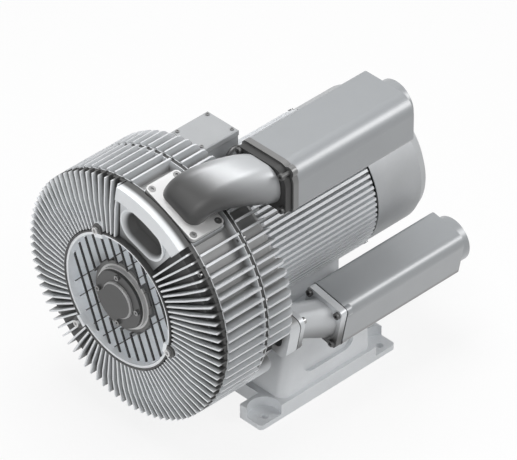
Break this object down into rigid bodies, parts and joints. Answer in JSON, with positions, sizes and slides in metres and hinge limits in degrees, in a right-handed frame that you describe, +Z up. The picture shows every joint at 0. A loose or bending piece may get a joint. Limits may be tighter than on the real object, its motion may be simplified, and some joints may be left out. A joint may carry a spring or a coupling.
{
  "type": "side channel blower",
  "caption": "Two-stage side channel blower with finned casings, fan-cooled motor, recessed bearing hub, cast foot and inlet and outlet silencers beside the motor",
  "frame": {"origin": "centre of the four foot bolt holes, on the mounting plane under the foot", "axes": "+Y from the front cover along the shaft to the fan cover, +Z up, +X towards the silencers"},
  "size_m": [0.5152, 0.6883, 0.5903],
  "materials": {
    "cast_aluminium": "pressure die-cast, lightly blasted, satin grey",
    "smooth_aluminium": "smooth cast, soft polished sheen",
    "dark_cap": "dark satin paint",
    "screw_steel": "zinc plated steel",
    "shaft_steel": "turned and ground steel",
    "bearing_steel": "ground bearing steel",
    "core_steel": "stacked electrical sheet",
    "copper_winding": "varnished copper wire",
    "grey_sheet": "pressed sheet, grey paint",
    "seal_rubber": "moulded rubber, matt",
    "liner_foam": "open-cell acoustic foam",
    "black_plastic": "glass filled plastic, matt"
  },
  "bodies": {
    "casing": {"front_cover": "cast_aluminium", "hub_insert": "cast_aluminium", "centre_housing": "cast_aluminium", "rear_housing": "cast_aluminium", "drive_end_shield": "cast_aluminium", "motor_frame": "cast_aluminium", "rear_end_shield": "cast_aluminium", "foot_casting": "cast_aluminium", "terminal_box_body": "cast_aluminium", "terminal_box_lid": "cast_aluminium", "upper_silencer": "cast_aluminium", "lower_silencer": "cast_aluminium", "upper_elbow": "smooth_aluminium", "lower_elbow": "smooth_aluminium", "bearing_cap": "dark_cap", "cap_screws": "screw_steel", "lug_screws": "screw_steel", "rim_screws": "screw_steel", "elbow_screws": "screw_steel", "silencer_screws": "screw_steel", "shield_screws": "screw_steel", "frame_screws": "screw_steel", "fan_cover_screws": "screw_steel", "terminal_box_screws": "screw_steel", "motor_foot_screws": "screw_steel", "lifting_eye": "screw_steel", "front_bearing_outer": "bearing_steel", "drive_bearing_outer": "bearing_steel", "fan_bearing_outer": "bearing_steel", "stator_core": "core_steel", "stator_winding": "copper_winding", "fan_cover": "grey_sheet", "housing_seal_rings": "seal_rubber", "port_gasket": "seal_rubber", "upper_silencer_gasket": "seal_rubber", "lower_port_gasket": "seal_rubber", "lower_silencer_gasket": "seal_rubber", "front_shaft_seal": "seal_rubber", "rear_shaft_seal": "seal_rubber", "terminal_box_gasket": "seal_rubber", "upper_foam_liner": "liner_foam", "lower_foam_liner": "liner_foam", "terminal_block": "black_plastic", "cable_gland": "black_plastic"},
    "rotor": {"rotor_shaft": "shaft_steel", "first_impeller": "cast_aluminium", "second_impeller": "cast_aluminium", "impeller_keys": "shaft_steel", "shaft_nut": "screw_steel", "front_sleeve": "shaft_steel", "impeller_spacer": "shaft_steel", "rear_sleeve": "shaft_steel", "front_bearing_inner": "bearing_steel", "drive_bearing_inner": "bearing_steel", "fan_bearing_inner": "bearing_steel", "rotor_core": "core_steel", "cooling_fan": "black_plastic"},
    "front_balls": {"front_bearing_balls": "bearing_steel"},
    "drive_balls": {"drive_bearing_balls": "bearing_steel"},
    "fan_balls": {"fan_bearing_balls": "bearing_steel"}
  },
  "joints": [
    {"name": "rotor_spin", "type": "hinge", "parent": "casing", "child": "rotor", "pos_m": [0, -0.3, 0.288], "axis": [0, 1, 0], "continuous": true},
    {"name": "front_ball_spin", "type": "hinge", "parent": "casing", "child": "front_balls", "pos_m": [0, -0.323, 0.288], "axis": [0, 1, 0], "continuous": true},
    {"name": "drive_ball_spin", "type": "hinge", "parent": "casing", "child": "drive_balls", "pos_m": [0, -0.1155, 0.288], "axis": [0, 1, 0], "continuous": true},
    {"name": "fan_ball_spin", "type": "hinge", "parent": "casing", "child": "fan_balls", "pos_m": [0, 0.171, 0.288], "axis": [0, 1, 0], "continuous": true}
  ],
  "couplings": [
    {"joint": "front_ball_spin", "follows": "rotor_spin", "ratio": 0.41},
    {"joint": "drive_ball_spin", "follows": "rotor_spin", "ratio": 0.3976},
    {"joint": "fan_ball_spin", "follows": "rotor_spin", "ratio": 0.41}
  ]
}
